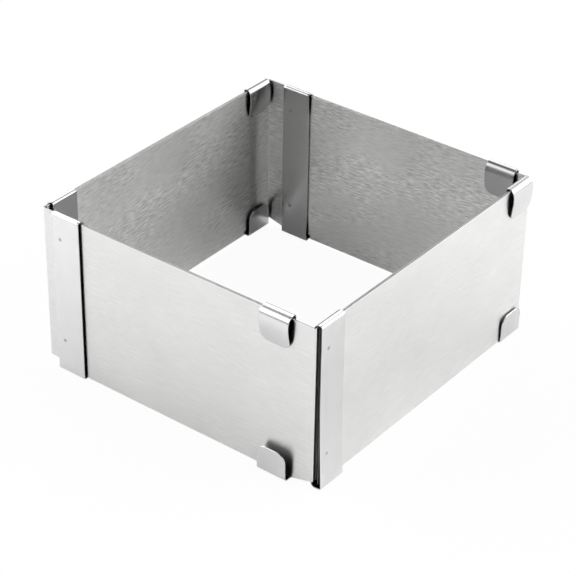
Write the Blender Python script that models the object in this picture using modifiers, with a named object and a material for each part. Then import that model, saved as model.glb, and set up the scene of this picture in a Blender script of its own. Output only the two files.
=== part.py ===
"""Adjustable cake frame, in metres with +Z up.

Four sheets, each bent once to an L, lie in a pinwheel: the outer arm of each is the outer layer of one wall, and
its inner arm is the inner layer of the next wall. A hooked strap is welded to the free end of every arm, and its
two hooks grip the other layer of that wall, so the walls telescope and the frame grows in width and in depth.
The front wall faces -Y and the right wall faces +X. The frame stands on its hooks at z = 0, round the Z axis.
"""

import math

import bmesh
import bpy
from mathutils import Vector

# The whole frame, measured over the outer layers of its walls
closed_width = 0.1555
closed_depth = 0.168
width_opening = 0.0045

# Corner sheet: thin strip, bent once. The lower edge of the inner arm is cut higher, with a slope before the bend
sheet_height = 0.085
sheet_thickness = 0.0005
sheet_gap = 0.0003
corner_bend_radius = 0.0014
step_height = 0.003
step_length = 0.012
inner_arm_shortfall = 0.0045

# Strap: flat plate with a hook at each end, welded on two buttons of weld metal
strap_width = 0.016
strap_thickness = 0.0005
strap_overhang = 0.0005
end_clearance = 0.0006
edge_clearance = 0.0005
plate_bend_radius = 0.0009
tab_corner_radius = 0.0045

# Lower hook: a J whose tab stands open at its top
low_tab_height = 0.0145
low_tab_bend_radius = 0.0014
low_tab_opening = 0.0018
low_tab_lean = 0.0005

# Upper hook: a drop shape whose tab closes on the sheet at its lower end
high_tab_height = 0.0165
high_tab_bulge = 0.0026
high_tab_gap = 0.0003

# Spot welds, with the dent that the electrode leaves on the strap
weld_radius = 0.0015
weld_thickness = 0.0005
weld_gap = 0.0003
weld_from_end = 0.0045
weld_from_top = 0.012
weld_from_bottom = 0.017
dent_radius = 0.0012
dent_floor_radius = 0.0007
dent_depth = 0.0002

# Shares and counts that set the fineness of the round stretches
corner_limit_share = 0.45
bulge_height_share = 0.33
bend_steps = 8
hook_bend_steps = 6
bulge_steps = 18
round_corner_steps = 6
weld_sides = 24
smallest_row = 0.00004
sharp_angle = math.radians(35)

wall_thickness = 2 * sheet_thickness + sheet_gap
strap_standoff = weld_thickness + 2 * weld_gap
sheet_foot = strap_thickness + edge_clearance
upper_web = sheet_foot + sheet_height + edge_clearance
rest_width = closed_width + width_opening
depth_end_gap = wall_thickness + end_clearance
width_end_gap = depth_end_gap + strap_standoff + strap_thickness

# How far the straps reach along each wall, from the outer corner that carries their arm
outer_reach_in_width = closed_width - width_end_gap
inner_reach_in_width = outer_reach_in_width - inner_arm_shortfall
reach_in_depth = closed_depth - depth_end_gap


def steel(name, colour, roughness):
    material = bpy.data.materials.new(name)
    material.use_nodes = True
    shader = material.node_tree.nodes["Principled BSDF"]
    shader.inputs["Base Color"].default_value = colour
    shader.inputs["Metallic"].default_value = 1.0
    shader.inputs["Roughness"].default_value = roughness
    return material


def arc(centre, radius, start, end, steps):
    """Points of an arc in a plane, angles in degrees."""
    angles = [math.radians(start + (end - start) * i / steps) for i in range(steps + 1)]
    return [(centre[0] + radius * math.cos(a), centre[1] + radius * math.sin(a)) for a in angles]


def bulge(p0, p1, p2, p3, steps):
    """Points of a cubic curve in a plane."""
    points = []
    for i in range(steps + 1):
        t = i / steps
        weights = ((1 - t) ** 3, 3 * t * (1 - t) ** 2, 3 * t * t * (1 - t), t ** 3)
        points.append(tuple(sum(w * p[k] for w, p in zip(weights, (p0, p1, p2, p3))) for k in (0, 1)))
    return points


def without_repeats(points):
    kept = [points[0]]
    for point in points[1:]:
        if math.dist(point, kept[-1]) > smallest_row:
            kept.append(point)
    return kept


def lofted_sheet(name, rows, thickness, collection):
    """A thin sheet through rows of two points, thickened on one side by Solidify."""
    mesh = bpy.data.meshes.new(name)
    shape = bmesh.new()
    edges = [[shape.verts.new(point) for point in row] for row in rows]
    for (a, b), (c, d) in zip(edges, edges[1:]):
        shape.faces.new((a, b, d, c))
    shape.to_mesh(mesh)
    shape.free()
    sheet = bpy.data.objects.new(name, mesh)
    collection.objects.link(sheet)
    solidify = sheet.modifiers.new("Thickness", "SOLIDIFY")
    solidify.thickness = thickness
    solidify.offset = 1.0
    solidify.use_even_offset = True
    return sheet


def finished_mesh(thing, name, material):
    """The evaluated mesh of an object, to be shared by all its copies. The object itself is removed."""
    bpy.context.view_layer.update()
    mesh = bpy.data.meshes.new_from_object(thing.evaluated_get(bpy.context.evaluated_depsgraph_get()))
    mesh.name = name
    mesh.materials.clear()
    mesh.materials.append(material)
    mesh.shade_smooth()
    mesh.set_sharp_from_angle(angle=sharp_angle)
    bpy.data.objects.remove(thing)
    return mesh


def corner_sheet_mesh(name, outer_reach, inner_reach, material, collection):
    """The L in its corner's frame: outer arm along -X, inner arm along +Y, one layer further in."""
    outer_end = outer_reach - strap_overhang
    inner_end = inner_reach - strap_overhang
    bend_x = -(sheet_thickness + sheet_gap)
    bend_centre = (bend_x - corner_bend_radius, corner_bend_radius)
    bend_start = (bend_centre[0], 0)
    slope_start = (bend_centre[0] - step_length, 0)
    low, lifted = sheet_foot, sheet_foot + step_height
    rows = [((-outer_end, 0), low), (slope_start, low), (bend_start, lifted)]
    rows += [(point, lifted) for point in arc(bend_centre, corner_bend_radius, -90, 0, bend_steps)[1:]]
    rows += [((bend_x, inner_end), lifted)]
    top = sheet_foot + sheet_height
    corners = [(Vector((*point, foot)), Vector((*point, top))) for point, foot in rows]
    return finished_mesh(lofted_sheet(name, corners, sheet_thickness, collection), name, material)


def strap_path():
    """The side view of a strap, on the face that looks at the wall: depth into the wall, then height."""
    plate = -strap_standoff
    low_tab = wall_thickness + low_tab_opening
    web = strap_thickness
    low_bend = (low_tab - low_tab_bend_radius, web + low_tab_bend_radius)
    path = [(low_tab + low_tab_lean, low_tab_height)]
    path += arc(low_bend, low_tab_bend_radius, 0, -90, hook_bend_steps)
    path += arc((plate + plate_bend_radius, web + plate_bend_radius), plate_bend_radius, 270, 180, hook_bend_steps)
    upper_bend = (plate + plate_bend_radius, upper_web - plate_bend_radius)
    path += arc(upper_bend, plate_bend_radius, 180, 90, hook_bend_steps)
    furthest = wall_thickness + high_tab_bulge
    path += bulge(
        (plate + plate_bend_radius, upper_web),
        (furthest, upper_web),
        (furthest, upper_web - high_tab_height * bulge_height_share),
        (wall_thickness + high_tab_gap, upper_web - high_tab_height),
        bulge_steps,
    )
    return without_repeats(path)


def strap_rows():
    """Rows across the strap, with extra rows at both ends where the tabs' corners are rounded."""
    path = strap_path()
    stations = [0.0]
    for a, b in zip(path, path[1:]):
        stations.append(stations[-1] + math.dist(a, b))
    length = stations[-1]
    radius = min(tab_corner_radius, strap_width * corner_limit_share)
    turns = [math.pi / 2 * i / round_corner_steps for i in range(round_corner_steps + 1)]
    ends = [radius * (1 - math.cos(turn)) for turn in turns]
    ends += [length - distance for distance in ends]
    between = [s for s in stations[1:-1] if min(abs(s - e) for e in ends) > smallest_row]
    rows = []
    for station in sorted(ends + between):
        inset = radius - min(radius, station, length - station)
        trim = radius - math.sqrt(max(radius * radius - inset * inset, 0.0))
        index = max(i for i in range(len(path) - 1) if stations[i] <= station + smallest_row)
        share = (station - stations[index]) / (stations[index + 1] - stations[index])
        depth, height = Vector(path[index]).lerp(Vector(path[index + 1]), share)
        rows.append((Vector((trim, depth, height)), Vector((strap_width - trim, depth, height))))
    return rows


def round_button(name, low_radius, high_radius, thickness, collection):
    """A round plug along Y whose low_radius end is nearer the wall, centred on its own origin."""
    mesh = bpy.data.meshes.new(name)
    shape = bmesh.new()
    bmesh.ops.create_cone(
        shape, cap_ends=True, segments=weld_sides, radius1=low_radius, radius2=high_radius, depth=thickness
    )
    shape.to_mesh(mesh)
    shape.free()
    button = bpy.data.objects.new(name, mesh)
    button.rotation_euler = (math.pi / 2, 0, 0)
    collection.objects.link(button)
    return button


def weld_heights():
    return {"upper": sheet_foot + sheet_height - weld_from_top, "lower": sheet_foot + weld_from_bottom}


def strap_mesh(name, material, parts, cutters):
    """One strap with its two weld dents. Its free-end edge is at x = 0, and +Y points into the wall."""
    strap = lofted_sheet(name, strap_rows(), strap_thickness, parts)
    face = -(strap_standoff + strap_thickness)
    dents = []
    for place, height in weld_heights().items():
        dent = round_button("weld_dent_" + place, dent_floor_radius, 2 * dent_radius - dent_floor_radius,
                            2 * dent_depth, cutters)
        dent.location = (weld_from_end, face, height)
        dent.hide_render = True
        dent.display_type = "WIRE"
        cut = strap.modifiers.new("Weld dent " + place, "BOOLEAN")
        cut.operation = "DIFFERENCE"
        cut.object = dent
        dents.append(dent)
    mesh = finished_mesh(strap, name, material)
    for dent in dents:
        bpy.data.objects.remove(dent)
    return mesh


def place(name, mesh, parent, location, turn, collection):
    thing = bpy.data.objects.new(name, mesh)
    thing.parent = parent
    thing.location = location
    thing.rotation_euler = (0, 0, turn)
    collection.objects.link(thing)
    return thing


def weld_mesh(material, parts):
    nugget = round_button("weld_nugget", weld_radius, weld_radius, weld_thickness, parts)
    nugget.rotation_euler = (0, 0, 0)
    return finished_mesh(nugget, "weld_nugget", material)


def strap_with_welds(name, meshes, corner, location, turn, collection):
    """A strap on its arm, and the two buttons of weld metal between them."""
    strap = place(name, meshes["strap"], corner, location, turn, collection)
    for where, height in weld_heights().items():
        seat = (weld_from_end, -strap_standoff / 2, height)
        nugget = place(name + "_weld_" + where, meshes["weld"], strap, seat, 0, collection)
        nugget.rotation_euler = (math.pi / 2, 0, 0)


def build():
    for thing in list(bpy.data.objects):
        bpy.data.objects.remove(thing)
    parts = bpy.data.collections.new("adjustable_cake_frame")
    cutters = bpy.data.collections.new("cutters")
    bpy.context.scene.collection.children.link(parts)
    bpy.context.scene.collection.children.link(cutters)

    sheet_steel = steel("brushed_sheet_steel", (0.78, 0.78, 0.77, 1.0), 0.32)
    strap_steel = steel("strap_steel", (0.80, 0.80, 0.80, 1.0), 0.26)
    weld_metal = steel("weld_metal", (0.50, 0.50, 0.50, 1.0), 0.45)
    meshes = {
        "strap": strap_mesh("strap", strap_steel, parts, cutters),
        "weld": weld_mesh(weld_metal, parts),
        "long_in_width": corner_sheet_mesh(
            "sheet_outer_arm_in_width", outer_reach_in_width, reach_in_depth, sheet_steel, parts
        ),
        "long_in_depth": corner_sheet_mesh(
            "sheet_outer_arm_in_depth", reach_in_depth, inner_reach_in_width, sheet_steel, parts
        ),
    }

    # Each corner turns a quarter further than the one before, anticlockwise from above
    half_width, half_depth = rest_width / 2, closed_depth / 2
    corners = [
        ("front_right", (half_width, -half_depth), "front", "right"),
        ("back_right", (half_width, half_depth), "right", "back"),
        ("back_left", (-half_width, half_depth), "back", "left"),
        ("front_left", (-half_width, -half_depth), "left", "front"),
    ]
    for quarter, (name, spot, outer_wall, inner_wall) in enumerate(corners):
        in_width = quarter % 2 == 0
        outer_reach = outer_reach_in_width if in_width else reach_in_depth
        inner_reach = reach_in_depth if in_width else inner_reach_in_width
        corner = bpy.data.objects.new(name + "_corner", None)
        corner.location = (*spot, 0)
        corner.rotation_euler = (0, 0, quarter * math.pi / 2)
        parts.objects.link(corner)
        place(name + "_sheet", meshes["long_in_width" if in_width else "long_in_depth"], corner, (0, 0, 0), 0, parts)
        strap_with_welds(outer_wall + "_outer_strap", meshes, corner, (-outer_reach, 0, 0), 0, parts)
        strap_with_welds(
            inner_wall + "_inner_strap", meshes, corner, (-wall_thickness, inner_reach, 0), -math.pi / 2, parts
        )


build()
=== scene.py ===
"""Adjustable cake frame of brushed steel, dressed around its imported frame.

Metres, with +Z up. The front wall faces -Y and the right wall +X. The frame stands on its hooks at z = 0.
"""

import math

import bmesh
import bpy
from mathutils import Matrix, Vector


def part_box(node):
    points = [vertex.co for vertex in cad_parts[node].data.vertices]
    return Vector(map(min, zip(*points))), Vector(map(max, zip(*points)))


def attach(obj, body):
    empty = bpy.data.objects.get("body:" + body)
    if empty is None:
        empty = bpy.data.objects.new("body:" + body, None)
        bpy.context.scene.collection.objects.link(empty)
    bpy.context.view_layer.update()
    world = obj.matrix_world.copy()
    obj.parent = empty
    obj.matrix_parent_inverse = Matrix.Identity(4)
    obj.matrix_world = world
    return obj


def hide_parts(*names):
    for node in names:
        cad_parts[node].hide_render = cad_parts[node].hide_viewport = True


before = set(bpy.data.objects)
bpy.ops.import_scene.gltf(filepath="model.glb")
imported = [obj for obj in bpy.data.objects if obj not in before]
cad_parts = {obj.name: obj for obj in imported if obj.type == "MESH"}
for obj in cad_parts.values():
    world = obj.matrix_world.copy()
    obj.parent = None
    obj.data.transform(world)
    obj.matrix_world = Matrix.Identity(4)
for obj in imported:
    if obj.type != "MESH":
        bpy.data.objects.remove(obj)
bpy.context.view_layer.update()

# Corner sheets
# Four strips of half-millimetre stainless sheet, brushed along their length, sheared to size and bent once
# to a right angle. The outer arm of each lies outside the next one's inner arm, so the walls telescope.
sheet_thickness = 0.0005
bend_radius = 0.0009
arm_end_trim = 0.0010

# How far the burr is taken off the cut edges, and the angle from which an edge counts as cut
sheared_edge = 0.00012
edge_angle = math.radians(50)

# The lower edge rises just before the bend and stays up along the inner arm.
step_height = 0.003
step_length = 0.012

# Each arm bows a little, in leaning waves around a mean, away from the arm that it slides along.
bow_depth = 0.00012
bow_waves = 1.7
bow_lean = 0.8
bow_mean_share = 0.6
bow_swing_share = 0.4

# How fine the sheet's mesh is
arm_step = 0.006
sheet_levels = 14
bend_steps = 12

# Marks of the brush and of wear: how wide and how long they are, how far they lean and how much detail
# they hold
hairline_marks = {"across": 0.00035, "along": 0.012}
stroke_marks = {"across": 0.0008, "along": 0.005, "lean": 0.10, "detail": 2.0}
cloud_marks = {"across": 0.022, "along": 0.040, "detail": 2.0}
wear_marks = {"across": 0.030, "along": 0.045, "lean": 0.3, "detail": 1.0}
mark_roughness = 0.6
wear_softness = 0.15
unworn_stroke_share = 0.3
cloud_share = 0.3

# Surface of the brushed steel
warm_blue_share = 0.99
stroke_relief_share = 2.0
brush_relief = 0.000008
brushed_roughness = 0.30
brushed_roughness_swing = 0.05
brush_anisotropy = 0.9
brush_quarter_turn = 0.25

# Surface of steel that was only sheared, rolled or fused
dull_roughness = 0.40
dull_roughness_swing = 0.2
dull_detail = 3.0


def placed(name, data):
    """A new object of the scene."""
    item = bpy.data.objects.new(name, data)
    bpy.context.scene.collection.objects.link(item)
    return item


def arc(centre, radius, start, end, steps):
    """Points of an arc in a plane, angles in degrees."""
    angles = [math.radians(start + (end - start) * i / steps) for i in range(steps + 1)]
    return [(centre[0] + radius * math.cos(a), centre[1] + radius * math.sin(a)) for a in angles]


def shared_out(start, end, step):
    """Evenly spaced numbers from start to end, at most one step apart."""
    count = max(1, math.ceil(abs(end - start) / step))
    return [start + (end - start) * i / count for i in range(count + 1)]


def thin_steel(name, rows, thickness, finishes):
    """A sheet through rows of points, thickened on one side, with its cut edges rounded and its flat faces
    shaded flat. The finishes are those of the far side, of the rows' own side and of the cut edges."""
    shape = bmesh.new()
    lines = [[shape.verts.new(point) for point in row] for row in rows]
    for near, far in zip(lines, lines[1:]):
        for a, b, c, d in zip(near, near[1:], far, far[1:]):
            shape.faces.new((a, b, d, c))
    mesh = bpy.data.meshes.new(name)
    shape.to_mesh(mesh)
    shape.free()
    mesh.shade_smooth()
    for finish in finishes:
        mesh.materials.append(finish)
    draft = placed(name, mesh)
    solid = draft.modifiers.new("Thickness", "SOLIDIFY")
    solid.thickness = thickness
    solid.offset = 1.0
    solid.use_even_offset = True
    solid.material_offset = 1
    solid.material_offset_rim = 2
    edges = draft.modifiers.new("Broken edges", "BEVEL")
    edges.width = sheared_edge
    edges.segments = 2
    edges.limit_method = "ANGLE"
    edges.angle_limit = edge_angle
    shading = draft.modifiers.new("Flat faces stay flat", "WEIGHTED_NORMAL")
    shading.weight = 100
    bpy.context.view_layer.update()
    steel = bpy.data.meshes.new_from_object(draft.evaluated_get(bpy.context.evaluated_depsgraph_get()))
    bpy.data.objects.remove(draft)
    steel.name = name
    return steel


def corner_sheet_mesh(name, outer_arm, inner_arm, foot, top, phase):
    """The L in its own frame: outer faces meet at the origin, outer arm along -X, inner arm along +Y."""
    raised = foot + step_height
    slope_start = -(bend_radius + step_length)
    plan = [(x, 0.0, foot) for x in shared_out(arm_end_trim - outer_arm, slope_start, arm_step)]
    plan += [(-bend_radius, 0.0, raised)]
    for point in arc((-bend_radius, bend_radius), bend_radius, -90, 0, bend_steps)[1:]:
        plan.append((*point, raised))
    plan += [(0.0, y, raised) for y in shared_out(bend_radius, inner_arm, arm_step)[1:]]
    rows = []
    for x, y, low in plan:
        along = -x / outer_arm if y == 0 else y / inner_arm
        row = []
        for level in range(sheet_levels + 1):
            up = level / sheet_levels
            wave = math.cos(2 * math.pi * (bow_waves * along + bow_lean * up) + phase)
            bow = bow_depth * math.sin(math.pi * along) ** 2 * (bow_mean_share + bow_swing_share * wave)
            place = Vector((x, y, low + (top - low) * up))
            place -= Vector((0, bow, 0)) if y == 0 else Vector((bow, 0, 0))
            row.append(place)
        rows.append(row)
    return thin_steel(name, rows, sheet_thickness, (inside_finish, outside_finish, sheared_finish))


class Wire:
    """The output of a shader node. Arithmetic on it adds Math nodes to the same tree."""

    def __init__(self, finish, source):
        self.finish = finish
        self.source = source

    def maths(self, operation, first, second):
        """The result of one sum, as the output of a Math node."""
        return self.finish.node("ShaderNodeMath", {"operation": operation}, {0: first, 1: second})

    def __add__(self, other):
        return self.maths("ADD", self, other)

    def __sub__(self, other):
        return self.maths("SUBTRACT", self, other)

    def __rsub__(self, other):
        return self.maths("SUBTRACT", other, self)

    def __mul__(self, other):
        return self.maths("MULTIPLY", self, other)

    __radd__ = __add__
    __rmul__ = __mul__


class Finish:
    """The node tree of a material or of the world."""

    def __init__(self, owner):
        self.owner = owner
        owner.use_nodes = True
        self.tree = owner.node_tree

    def fill(self, node, sockets):
        """Sets a node's sockets: a wire is linked, and a plain value is written in."""
        for name, value in sockets.items():
            if isinstance(value, Wire):
                self.tree.links.new(value.source, node.inputs[name])
            else:
                node.inputs[name].default_value = value

    def node(self, kind, settings=None, sockets=None, output=0):
        """Adds a node: its type, its settings, and the values or wires of its sockets."""
        node = self.tree.nodes.new(kind)
        for name, value in (settings or {}).items():
            setattr(node, name, value)
        self.fill(node, sockets or {})
        return Wire(self, node.outputs[output])


def grey(tone, blue_share=1.0):
    """A grey that is a little warm where its blue is held back."""
    return (tone, tone, tone * blue_share, 1.0)


def blend(finish, factor, first, second):
    """The first colour where the factor is 0 and the second where it is 1."""
    return finish.node(
        "ShaderNodeMix", {"data_type": "RGBA"}, {"Factor": factor, 6: first, 7: second}, output=2
    )


def fade(finish, value, start, end):
    """A smooth rise from 0 where the value reaches its start to 1 at its end."""
    return finish.node(
        "ShaderNodeMapRange",
        {"interpolation_type": "SMOOTHSTEP"},
        {"Value": value, "From Min": start, "From Max": end},
    )


def grain(finish, across, along, lean=0.0, detail=3.0):
    """Noise drawn out along the wall: how wide and how long its marks are."""
    place = finish.node("ShaderNodeTexCoord", output="Object")
    parts = finish.node("ShaderNodeSeparateXYZ", sockets={"Vector": place}).source.node
    x, y, z = (Wire(finish, parts.outputs[axis]) for axis in "XYZ")
    wall = x + y
    height = z + wall * lean
    stretched = finish.node(
        "ShaderNodeCombineXYZ", sockets={"X": wall * (1 / along), "Z": height * (1 / across)}
    )
    noise = finish.node("ShaderNodeTexNoise", sockets={
        "Vector": stretched,
        "Scale": 1.0,
        "Detail": detail,
        "Roughness": mark_roughness,
    })
    return noise - 0.5


def brushed_steel(name, dark, light, hairline_share, stroke_share):
    """Brushed stainless sheet: fine hairlines, coarse strokes in worn patches, and faint clouds."""
    finish = Finish(bpy.data.materials.new(name))
    hairlines = grain(finish, **hairline_marks)
    strokes = grain(finish, **stroke_marks)
    clouds = grain(finish, **cloud_marks)
    worn = fade(finish, grain(finish, **wear_marks), -wear_softness, wear_softness)
    scratched = strokes * stroke_share * (worn + unworn_stroke_share)
    tone = 0.5 + hairlines * hairline_share + scratched + clouds * cloud_share
    relief = finish.node("ShaderNodeBump", sockets={
        "Height": hairlines + strokes * stroke_relief_share,
        "Strength": 1.0,
        "Distance": brush_relief,
    })
    finish.fill(finish.tree.nodes["Principled BSDF"], {
        "Base Color": blend(finish, tone, grey(dark, warm_blue_share), grey(light, warm_blue_share)),
        "Metallic": 1.0,
        "Roughness": brushed_roughness + clouds * brushed_roughness_swing,
        "Anisotropic": brush_anisotropy,
        "Anisotropic Rotation": brush_quarter_turn,
        "Normal": relief,
    })
    return finish.owner


def rough_steel(name, dark, light, scale):
    """Steel with no finish of its own, grey and uneven: sheared or fused steel, and the painted shade on
    the strap sides that face the walls.
    """
    finish = Finish(bpy.data.materials.new(name))
    place = finish.node("ShaderNodeTexCoord", output="Object")
    uneven = finish.node(
        "ShaderNodeTexNoise", sockets={"Vector": place, "Scale": scale, "Detail": dull_detail}
    )
    finish.fill(finish.tree.nodes["Principled BSDF"], {
        "Base Color": blend(finish, uneven, grey(dark), grey(light)),
        "Metallic": 1.0,
        "Roughness": dull_roughness + uneven * dull_roughness_swing,
    })
    return finish.owner


# The inner faces are streakier than the outer ones, which get wiped.
outside_finish = brushed_steel(
    "brushed_sheet_steel", dark=0.66, light=0.98, hairline_share=0.8, stroke_share=0.4
)
inside_finish = brushed_steel(
    "brushed_sheet_inside", dark=0.50, light=1.0, hairline_share=0.8, stroke_share=2.0
)
sheared_finish = rough_steel("sheared_edge", dark=0.15, light=0.35, scale=800.0)

# Each corner, and whether it is on the right and at the back. The next is always a quarter turn further on.
corners = [("front_right", 1, 0), ("back_right", 1, 1), ("back_left", 0, 1), ("front_left", 0, 0)]
for quarter, (corner, right, back) in enumerate(corners):
    low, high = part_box(corner + "_sheet")
    size = high - low
    outer_arm, inner_arm = (size.x, size.y) if quarter % 2 == 0 else (size.y, size.x)
    mesh = corner_sheet_mesh(corner + "_steel", outer_arm, inner_arm, low.z, high.z, phase=quarter)
    sheet = placed(corner + "_steel", mesh)
    sheet.location = (high.x if right else low.x, high.y if back else low.y, 0)
    sheet.rotation_euler = (0, 0, quarter * math.pi / 2)
    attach(sheet, corner + "_corner")
    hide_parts(corner + "_sheet")


# Straps
# Eight strips of smooth-rolled steel, each with both ends folded into hooks. A strap is spot-welded to the
# free end of its arm, and its hooks reach over the wall's edges and grip the layer that slides.
strap_thickness = 0.0005
strap_standoff = 0.0011
strap_top = 0.087
wall_thickness = 0.0013
plate_bend_radius = 0.0009
tab_corner_radius = 0.0045

# Lower hook: a flat tab. One that is nearly closed has a tighter bend.
low_tab_height = 0.0145
low_tab_bend_radius = 0.0014
tight_bend_radius = 0.0005

# Upper hook: a drop shape whose tab closes on the wall at its lower end
high_tab_height = 0.0165
high_tab_gap = 0.0003
bulge_height_share = 0.33

# The dents that the spot welder's electrodes leave
weld_from_end = 0.0045
weld_heights = (0.018, 0.074)
dent_radius = 0.0012
dent_depth = 0.00018
dent_reach = 0.0018

# How high up a sprung lower end leaves the wall, and how far from its hooks an edge is fully curled
splay_height = 0.060
curl_fade = 0.014

# How fine the strap's mesh is
dent_step = 0.00025
plate_step = 0.003
column_step = 0.0015
hook_bend_steps = 10
bulge_steps = 28
round_corner_steps = 8
smallest_row = 0.00004

# Surface of the rolled steel, whose lines run up the strap
line_scales = (2500.0, 2500.0, 90.0)
smudge_scale = 120.0
rolled_detail = 2.0
line_share = 0.10
smudge_share = 0.10
smudge_relief_share = 3.0
rolled_relief = 0.000005
rolled_roughness = 0.24
rolled_roughness_swing = 0.05
rolled_anisotropy = 0.2

# The grey spots that the welds burn into it. Their rims and cores are shares of the dents' radius.
burnt_tone = 0.30
burnt_share = 0.8
burnt_rim_share = 1.1
burnt_core_share = 0.3


def bulge(start, first_pull, last_pull, end, steps):
    """Points of a cubic curve in a plane: it sets out towards one pull and arrives from the other."""
    points = []
    for i in range(steps + 1):
        along = i / steps
        ahead = 1 - along
        weights = (ahead ** 3, 3 * along * ahead ** 2, 3 * along * along * ahead, along ** 3)
        pulls = list(zip(weights, (start, first_pull, last_pull, end)))
        points.append(tuple(sum(weight * place[axis] for weight, place in pulls) for axis in (0, 1)))
    return points


def strap_path(opening, lean, belly):
    """Side view of a strap on its wall side: depth from the strap's outer face, then height."""
    plate = strap_thickness
    lower_web = strap_thickness
    upper_web = strap_top - strap_thickness
    wall_back = strap_thickness + strap_standoff + wall_thickness
    low_tab = wall_back + opening
    low_radius = min(low_tab_bend_radius, tight_bend_radius + opening)
    low_bend = (low_tab - low_radius, lower_web + low_radius)
    lower_bend = (plate + plate_bend_radius, lower_web + plate_bend_radius)
    upper_bend = (plate + plate_bend_radius, upper_web - plate_bend_radius)
    path = [(low_tab + lean, low_tab_height)]
    path += arc(low_bend, low_radius, 0, -90, hook_bend_steps)
    path += arc(lower_bend, plate_bend_radius, 270, 180, hook_bend_steps)
    for height in weld_heights:
        path += [(plate, z) for z in shared_out(path[-1][1], height - dent_reach, plate_step)]
        path += [(plate, z) for z in shared_out(height - dent_reach, height + dent_reach, dent_step)]
    path += [(plate, z) for z in shared_out(path[-1][1], upper_bend[1], plate_step)]
    path += arc(upper_bend, plate_bend_radius, 180, 90, hook_bend_steps)
    furthest = wall_back + belly
    path += bulge(
        (plate + plate_bend_radius, upper_web),
        (furthest, upper_web),
        (furthest, upper_web - high_tab_height * bulge_height_share),
        (wall_back + high_tab_gap, upper_web - high_tab_height),
        bulge_steps,
    )
    # Each stretch begins where the last one ended, and such doubled points are left out.
    kept = path[:1]
    for point in path[1:]:
        if math.dist(point, kept[-1]) > smallest_row:
            kept.append(point)
    return kept


def dent(across, height):
    """How deep the electrodes of the spot welder pressed the plate at this place."""
    depth = 0.0
    for weld_height in weld_heights:
        share = math.hypot(across - weld_from_end, height - weld_height) / dent_radius
        if share < 1:
            depth += dent_depth * (1 - share ** 4) ** 2
    return depth


def strap_mesh(name, width, finish, opening, lean, belly, splay, curl):
    """One strap in its own frame: free-end edge at x = 0, outer face at y = 0, +Y into the wall."""
    path = strap_path(opening, lean, belly)
    stations = [0.0]
    for a, b in zip(path, path[1:]):
        stations.append(stations[-1] + math.dist(a, b))
    length = stations[-1]
    # Rows lie closer together where the tabs' corners are rounded, and columns where the dents are.
    turns = [math.pi / 2 * i / round_corner_steps for i in range(round_corner_steps + 1)]
    ends = [tab_corner_radius * (1 - math.cos(turn)) for turn in turns]
    ends += [length - distance for distance in ends]
    between = [
        station for station in stations[1:-1] if min(abs(station - end) for end in ends) > smallest_row
    ]
    columns = shared_out(0, weld_from_end - dent_reach, column_step)
    columns += shared_out(weld_from_end - dent_reach, weld_from_end + dent_reach, dent_step)[1:]
    columns += shared_out(weld_from_end + dent_reach, width, column_step)[1:]
    rows = []
    for station in sorted(ends + between):
        inset = tab_corner_radius - min(tab_corner_radius, station, length - station)
        trim = tab_corner_radius - math.sqrt(max(tab_corner_radius ** 2 - inset ** 2, 0.0))
        index = max(i for i in range(len(path) - 1) if stations[i] <= station + smallest_row)
        share = (station - stations[index]) / (stations[index + 1] - stations[index])
        depth, height = Vector(path[index]).lerp(Vector(path[index + 1]), share)
        on_plate = abs(depth - strap_thickness) < smallest_row
        spread = splay * max(0.0, 1 - height / splay_height) ** 2
        from_hooks = max(0.0, min(height, strap_top - height, curl_fade) / curl_fade) ** 2
        row = []
        for column in columns:
            x = trim + (width - 2 * trim) * column / width
            pressed = dent(x, height) + curl * from_hooks * (x / width) ** 2 if on_plate else 0.0
            row.append(Vector((x, depth + pressed - spread, height)))
        rows.append(row)
    # The sides that face the wall get the near-black painted shade.
    return thin_steel(name, rows, strap_thickness, (finish, hidden_painted_shade, finish))


def rolled_steel(name, plate_tone, hook_tone):
    """Smooth mill-rolled strip, a little glossier than the sheets, with faint lines along the strap.
    Its plate and its hooks lie on opposite sides of the wall, and the side that lies inside the frame is
    given a darker tone: painted shade."""
    finish = Finish(bpy.data.materials.new(name))
    place = finish.node("ShaderNodeTexCoord", output="Object")
    stretched = finish.node("ShaderNodeVectorMath", {"operation": "MULTIPLY"}, {0: place, 1: line_scales})
    lines = finish.node(
        "ShaderNodeTexNoise", sockets={"Vector": stretched, "Scale": 1.0, "Detail": rolled_detail}
    ) - 0.5
    smudges = finish.node(
        "ShaderNodeTexNoise", sockets={"Vector": place, "Scale": smudge_scale, "Detail": rolled_detail}
    ) - 0.5
    parts = finish.node("ShaderNodeSeparateXYZ", sockets={"Vector": place}).source.node
    depth = Wire(finish, parts.outputs["Y"])
    # Past the wall the tone changes: the part inside the frame is coloured darker as painted shade.
    hooked = fade(finish, depth, strap_thickness, strap_thickness + strap_standoff + wall_thickness)
    colour = blend(finish, hooked, grey(plate_tone), grey(hook_tone))
    shade = 1.0 + lines * line_share + smudges * smudge_share
    colour = finish.node("ShaderNodeVectorMath", {"operation": "SCALE"}, {0: colour, "Scale": shade})
    for weld_height in weld_heights:
        away = finish.node(
            "ShaderNodeVectorMath",
            {"operation": "DISTANCE"},
            {0: place, 1: (weld_from_end, 0.0, weld_height)},
            output="Value",
        )
        burnt = fade(finish, away, dent_radius * burnt_rim_share, dent_radius * burnt_core_share)
        colour = blend(finish, burnt * burnt_share, colour, grey(burnt_tone))
    relief = finish.node("ShaderNodeBump", sockets={
        "Height": lines + smudges * smudge_relief_share,
        "Strength": 1.0,
        "Distance": rolled_relief,
    })
    finish.fill(finish.tree.nodes["Principled BSDF"], {
        "Base Color": colour,
        "Metallic": 1.0,
        "Roughness": rolled_roughness + smudges * rolled_roughness_swing,
        "Anisotropic": rolled_anisotropy,
        "Normal": relief,
    })
    return finish.owner


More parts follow.
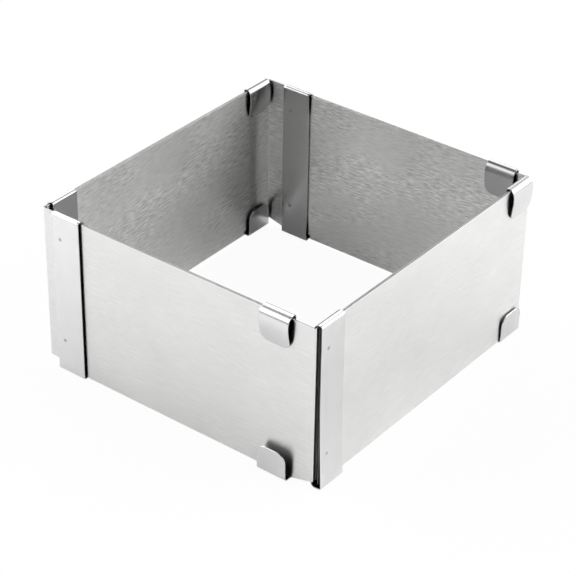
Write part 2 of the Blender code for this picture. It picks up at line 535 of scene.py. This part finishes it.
# The outer straps' hooks and the inner straps' plates lie inside the frame; their dark tones are painted
# shade.
outer_strap_finish = rolled_steel("strap_steel", plate_tone=0.87, hook_tone=0.45)
inner_strap_finish = rolled_steel("inner_strap_steel", plate_tone=0.43, hook_tone=0.79)
# The sides that face the walls are coloured near black. This is painted shade for the hooks' insides and
# the slits beside the straps.
hidden_painted_shade = rough_steel("strap_hidden_side_painted_shade", dark=0.015, light=0.03, scale=400.0)

# Each strap: the quarter turns that lay it on its wall, the body that carries it, how far it sits from the
# arm's end, how far its lower tab stands open and leans out, how far its upper tab bellies out, how far its
# lower end has sprung away from the wall, and how far the edge away from the arm's end has curled in.
straps = {
    "front_outer_strap": (0, "front_right_corner", 0.0, 0.0018, 0.0005, 0.0026, 0.0, 0.0),
    "right_outer_strap": (1, "back_right_corner", 0.0, 0.0024, 0.0005, 0.0026, 0.0013, 0.0),
    "back_outer_strap": (2, "back_left_corner", 0.0, 0.0018, 0.0005, 0.0026, 0.0, 0.0),
    "left_outer_strap": (3, "front_left_corner", 0.0, 0.0011, 0.0001, 0.0022, 0.0, 0.0),
    "back_inner_strap": (0, "back_right_corner", 0.0, 0.0018, 0.0005, 0.0026, 0.0, 0.0008),
    "left_inner_strap": (1, "back_left_corner", 0.0030, 0.0002, 0.0, 0.0022, 0.0, 0.0),
    "front_inner_strap": (2, "front_left_corner", 0.0010, 0.0028, 0.0005, 0.0037, 0.0, 0.0),
    "right_inner_strap": (3, "front_right_corner", 0.0, 0.0006, 0.0003, 0.0026, 0.0, 0.0),
}
for name, (quarter, body, slip, *form) in straps.items():
    low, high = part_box(name)
    width = high.x - low.x if quarter % 2 == 0 else high.y - low.y
    finish = outer_strap_finish if "outer" in name else inner_strap_finish
    strap = placed(name + "_steel", strap_mesh(name + "_steel", width, finish, *form))
    turn = Matrix.Rotation(quarter * math.pi / 2, 4, "Z")
    strap.location = (high.x if quarter in (1, 2) else low.x, high.y if quarter in (2, 3) else low.y, 0)
    strap.location += turn @ Vector((slip, 0, 0))
    strap.rotation_euler = turn.to_euler()
    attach(strap, body)
    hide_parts(name)


# Weld nuggets
# Buttons of fused metal between each strap and its arm, left by the spot welder and dulled by its heat.
# They hold the two a millimetre apart, and only their rims can be seen, through the slit beside the strap.
weld_finish = rough_steel("weld_metal", dark=0.30, light=0.48, scale=1500.0)
for name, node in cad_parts.items():
    if "_weld_" in name:
        node.data.materials.clear()
        node.data.materials.append(weld_finish)


# Floor and light tent
# A white table top in a wide white tent, both white where they are seen directly. The tent glows in broad
# patches, most of them a third of the way up, on the right, behind and on the left. It is dark towards the
# camera, so that the steel shades from light to grey.
floor_size = 30.0
floor_depth = 0.0002
table_tone = 0.85
table_roughness = 0.9
camera_glow_share = 0.95
mirror_glow_share = 0.10

floor_mesh = bpy.data.meshes.new("floor")
shape = bmesh.new()
bmesh.ops.create_grid(shape, x_segments=1, y_segments=1, size=floor_size / 2)
shape.to_mesh(floor_mesh)
shape.free()
floor = placed("floor", floor_mesh)
floor.location.z = -floor_depth
table = Finish(bpy.data.materials.new("white_table"))
path = table.node("ShaderNodeLightPath").source.node
direct, mirrored, refracted = (
    Wire(table, path.outputs[ray]) for ray in ("Is Camera Ray", "Is Glossy Ray", "Is Transmission Ray")
)
white = table.node("ShaderNodeEmission", sockets={"Color": grey(1.0), "Strength": 1.0})
top = table.tree.nodes["Principled BSDF"]
table.fill(top, {
    "Base Color": grey(table_tone),
    "Roughness": table_roughness,
    "Specular IOR Level": 0.0,
})
glow = table.node("ShaderNodeMixShader", sockets={
    0: direct * camera_glow_share + (mirrored + refracted) * mirror_glow_share,
    1: Wire(table, top.outputs[0]),
    2: white,
})
table.tree.links.new(glow.source, table.tree.nodes["Material Output"].inputs["Surface"])
floor_mesh.materials.append(table.owner)

world = bpy.data.worlds.new("light_tent")
bpy.context.scene.world = world
tent = Finish(world)
direction = tent.node("ShaderNodeTexCoord", output="Generated")

# Degrees from a patch's middle to its rim
patch_spread = 32


def patch(azimuth, elevation):
    """A soft round patch of light on the tent, from 0 at its rim to 1 in the middle. Degrees, from +X."""
    turn = math.radians(azimuth)
    rise = math.radians(elevation)
    towards = (math.cos(rise) * math.cos(turn), math.cos(rise) * math.sin(turn), math.sin(rise))
    facing = tent.node(
        "ShaderNodeVectorMath", {"operation": "DOT_PRODUCT"}, {0: direction, 1: towards}, output="Value"
    )
    return fade(tent, facing, math.cos(math.radians(patch_spread)), 1.0)


# Azimuth, elevation and strength of each patch
patches = (
    (0, 28, 2.1), (30, 28, 2.3), (60, 28, 2.3),
    (128, 33, 1.2), (150, 28, 1.7),
    (180, 28, 2.8), (210, 28, 2.8), (240, 28, 0.8),
    (30, 52, 0.5), (60, 52, 0.4), (240, 52, 0.3),
)
glows = sum(patch(azimuth, elevation) * strength for azimuth, elevation, strength in patches)
seen_directly = tent.node("ShaderNodeLightPath", output="Is Camera Ray")
tent.fill(tent.tree.nodes["Background"], {
    "Color": grey(1.0),
    "Strength": seen_directly + (1 - seen_directly) * glows,
})


# Camera
# A long lens about a metre off, beyond the front right corner, that looks down on the frame as the one in
# the photograph does.
lens = 131.67
sensor_width = 36.0
camera_place = (0.5185, -0.6772, 0.5829)
looks_down = 32.84
camera_tilt = math.radians(90 - looks_down)
camera_turn = math.radians(37.46)
camera_roll = math.radians(0.97)

camera_data = bpy.data.cameras.new("camera")
camera_data.lens = lens
camera_data.sensor_width = sensor_width
camera = placed("camera", camera_data)
camera.matrix_world = (
    Matrix.Translation(camera_place)
    @ Matrix.Rotation(camera_turn, 4, "Z")
    @ Matrix.Rotation(camera_tilt, 4, "X")
    @ Matrix.Rotation(camera_roll, 4, "Z")
)
bpy.context.scene.camera = camera
bpy.context.scene.view_settings.view_transform = "Standard"
